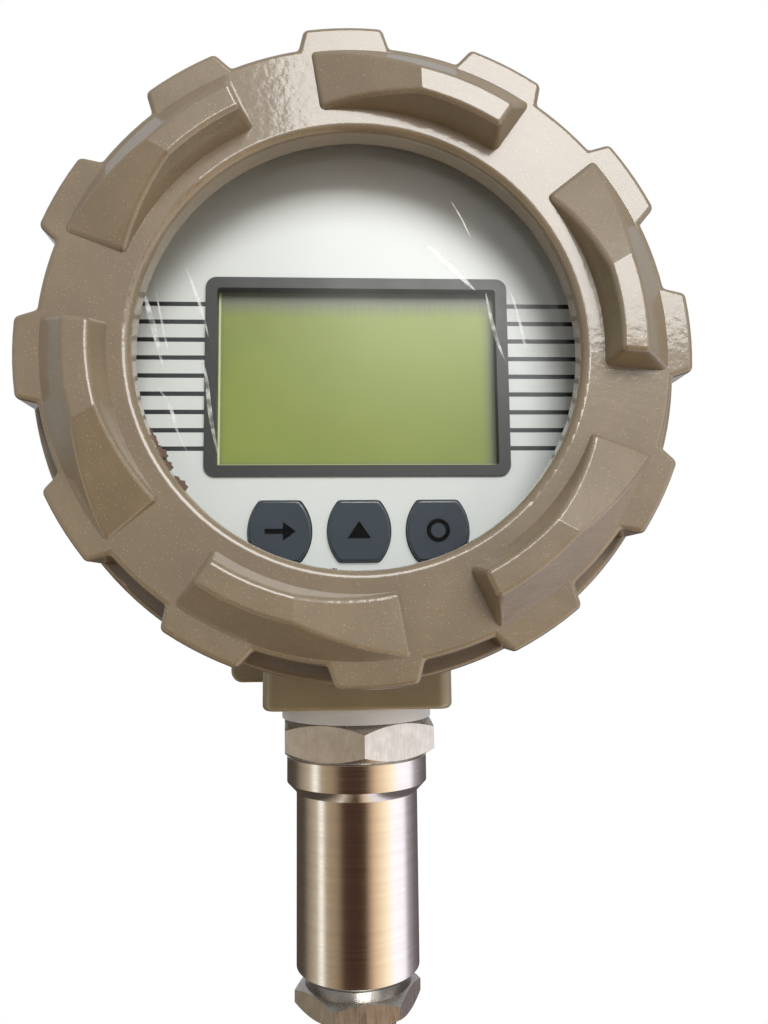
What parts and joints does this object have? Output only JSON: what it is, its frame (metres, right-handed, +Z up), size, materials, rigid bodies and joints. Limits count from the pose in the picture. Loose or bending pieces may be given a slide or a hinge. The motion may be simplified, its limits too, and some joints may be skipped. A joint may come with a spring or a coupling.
{
  "type": "flow sensor head",
  "caption": "Sensor head with a round window, small display and three keys on a screwed stem; picks up a turbine rotor's passing blades and shows flow.",
  "frame": {"origin": "on the stem's axis, at the nose nut's lower face, which seats on the pipe body's boss", "axes": "+Z up the stem, away from the pipe; -Y is the way the display faces; +X to the display's right"},
  "size_m": [0.121, 0.1234, 0.1976],
  "materials": {
    "painted_casting": "semi-gloss taupe enamel over die-cast aluminium",
    "body_casting": "semi-gloss beige enamel over die-cast aluminium",
    "steel": "turned and brushed stainless",
    "bright_steel": "machined stainless",
    "white_ptfe": "satin white",
    "clear_glass": "polished, clear",
    "red_seal": "red-brown silicone",
    "black_rubber": "matt black",
    "grey_potting": "dark grey cast resin",
    "plate_plastic": "pale grey-white, glossy",
    "bezel_plastic": "dark grey, satin",
    "display_green": "olive-green liquid crystal glass",
    "diffuser": "milky",
    "key_plastic": "slate, glossy",
    "black_plastic": "matt black",
    "board_green": "solder mask",
    "bright_brass": "nickel and brass",
    "copper_wire": "enamelled copper",
    "magnet_grey": "sintered, nickel plated",
    "core_iron": "soft iron",
    "cell_wrap": "green shrink sleeve over a steel can",
    "lead_jacket": "grey jacket",
    "zinc_screw": "bright zinc"
  },
  "bodies": {
    "head": {"front_cover": "painted_casting", "rear_cover": "painted_casting", "housing": "body_casting", "window_glass": "clear_glass", "window_gasket": "red_seal", "window_potting": "grey_potting", "cover_o_ring": "black_rubber", "rear_cover_o_ring": "black_rubber", "cover_lock_screws": "bright_steel", "faceplate": "plate_plastic", "display_bezel": "bezel_plastic", "display_glass": "display_green", "display_backlight": "diffuser", "display_carrier": "black_plastic", "display_board": "board_green", "key_switches": "black_plastic", "main_board": "board_green", "main_chips": "black_plastic", "front_pillars": "bright_brass", "rear_pillars": "bright_brass", "battery_cell": "cell_wrap", "battery_holder": "black_plastic", "lead_connector": "white_ptfe", "signal_lead": "lead_jacket", "partition_feedthrough": "grey_potting", "terminal_block": "black_plastic", "terminal_screws": "zinc_screw", "entry_plug": "bright_steel", "entry_seal": "black_rubber", "ground_screw": "zinc_screw", "ground_washer": "zinc_screw", "neck_washer": "white_ptfe", "neck_nut": "bright_steel", "stem_tube": "steel", "nose_nut": "bright_steel", "pickup_core": "core_iron", "pickup_bobbin": "black_plastic", "pickup_winding": "copper_wire", "pickup_magnet": "magnet_grey", "pickup_potting": "grey_potting"},
    "left_key": {"left_key": "key_plastic", "left_key_plunger": "black_plastic"},
    "middle_key": {"middle_key": "key_plastic", "middle_key_plunger": "black_plastic"},
    "right_key": {"right_key": "key_plastic", "right_key_plunger": "black_plastic"}
  },
  "joints": [
    {"name": "left_key_press", "type": "slide", "parent": "head", "child": "left_key", "axis": [0, 1, 0], "range_m": [0, 0.0008], "stiffness_N_per_m": 1500},
    {"name": "middle_key_press", "type": "slide", "parent": "head", "child": "middle_key", "axis": [0, 1, 0], "range_m": [0, 0.0008], "stiffness_N_per_m": 1500},
    {"name": "right_key_press", "type": "slide", "parent": "head", "child": "right_key", "axis": [0, 1, 0], "range_m": [0, 0.0008], "stiffness_N_per_m": 1500}
  ]
}
